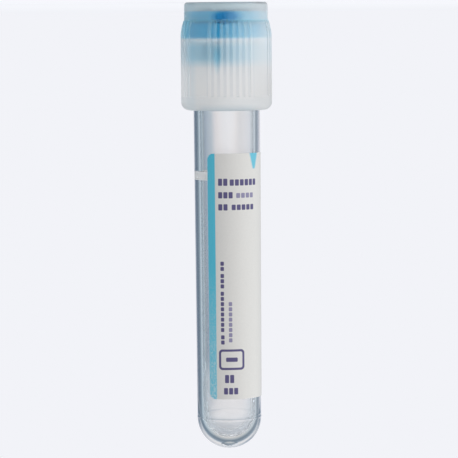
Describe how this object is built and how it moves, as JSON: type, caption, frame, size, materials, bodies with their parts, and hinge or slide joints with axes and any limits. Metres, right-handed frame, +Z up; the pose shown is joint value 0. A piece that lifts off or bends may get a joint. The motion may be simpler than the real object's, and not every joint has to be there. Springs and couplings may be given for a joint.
{
  "type": "blood collection tube",
  "caption": "Clear round-bottomed tube with an inner liner, a pull-off rubber stopper in a frosted ribbed safety shield, and a wrapped paper label.",
  "frame": {"origin": "bottom centre of the bounding box: the middle of the shield's flat top, on which the tube stands", "axes": "+Z up, along the tube's axis from the closure to the round end; the label's front faces -Y"},
  "size_m": [0.0166, 0.0166, 0.0821],
  "materials": {
    "clear_tube": "clear glossy moulded PET, with a frosted fill band",
    "clear_liner": "clear glossy moulded polypropylene",
    "rubber_stopper": "light-blue matt rubber",
    "frosted_shield": "translucent frosted polypropylene",
    "label_paper": "white coated paper with a pale-blue stripe"
  },
  "bodies": {
    "tube": {"outer_tube": "clear_tube", "inner_tube": "clear_liner", "label": "label_paper"},
    "closure": {"stopper": "rubber_stopper", "shield": "frosted_shield"}
  },
  "joints": [
    {"name": "tube_pull", "type": "slide", "parent": "closure", "child": "tube", "axis": [0, 0, 1], "range_m": [0, 0.02]}
  ]
}
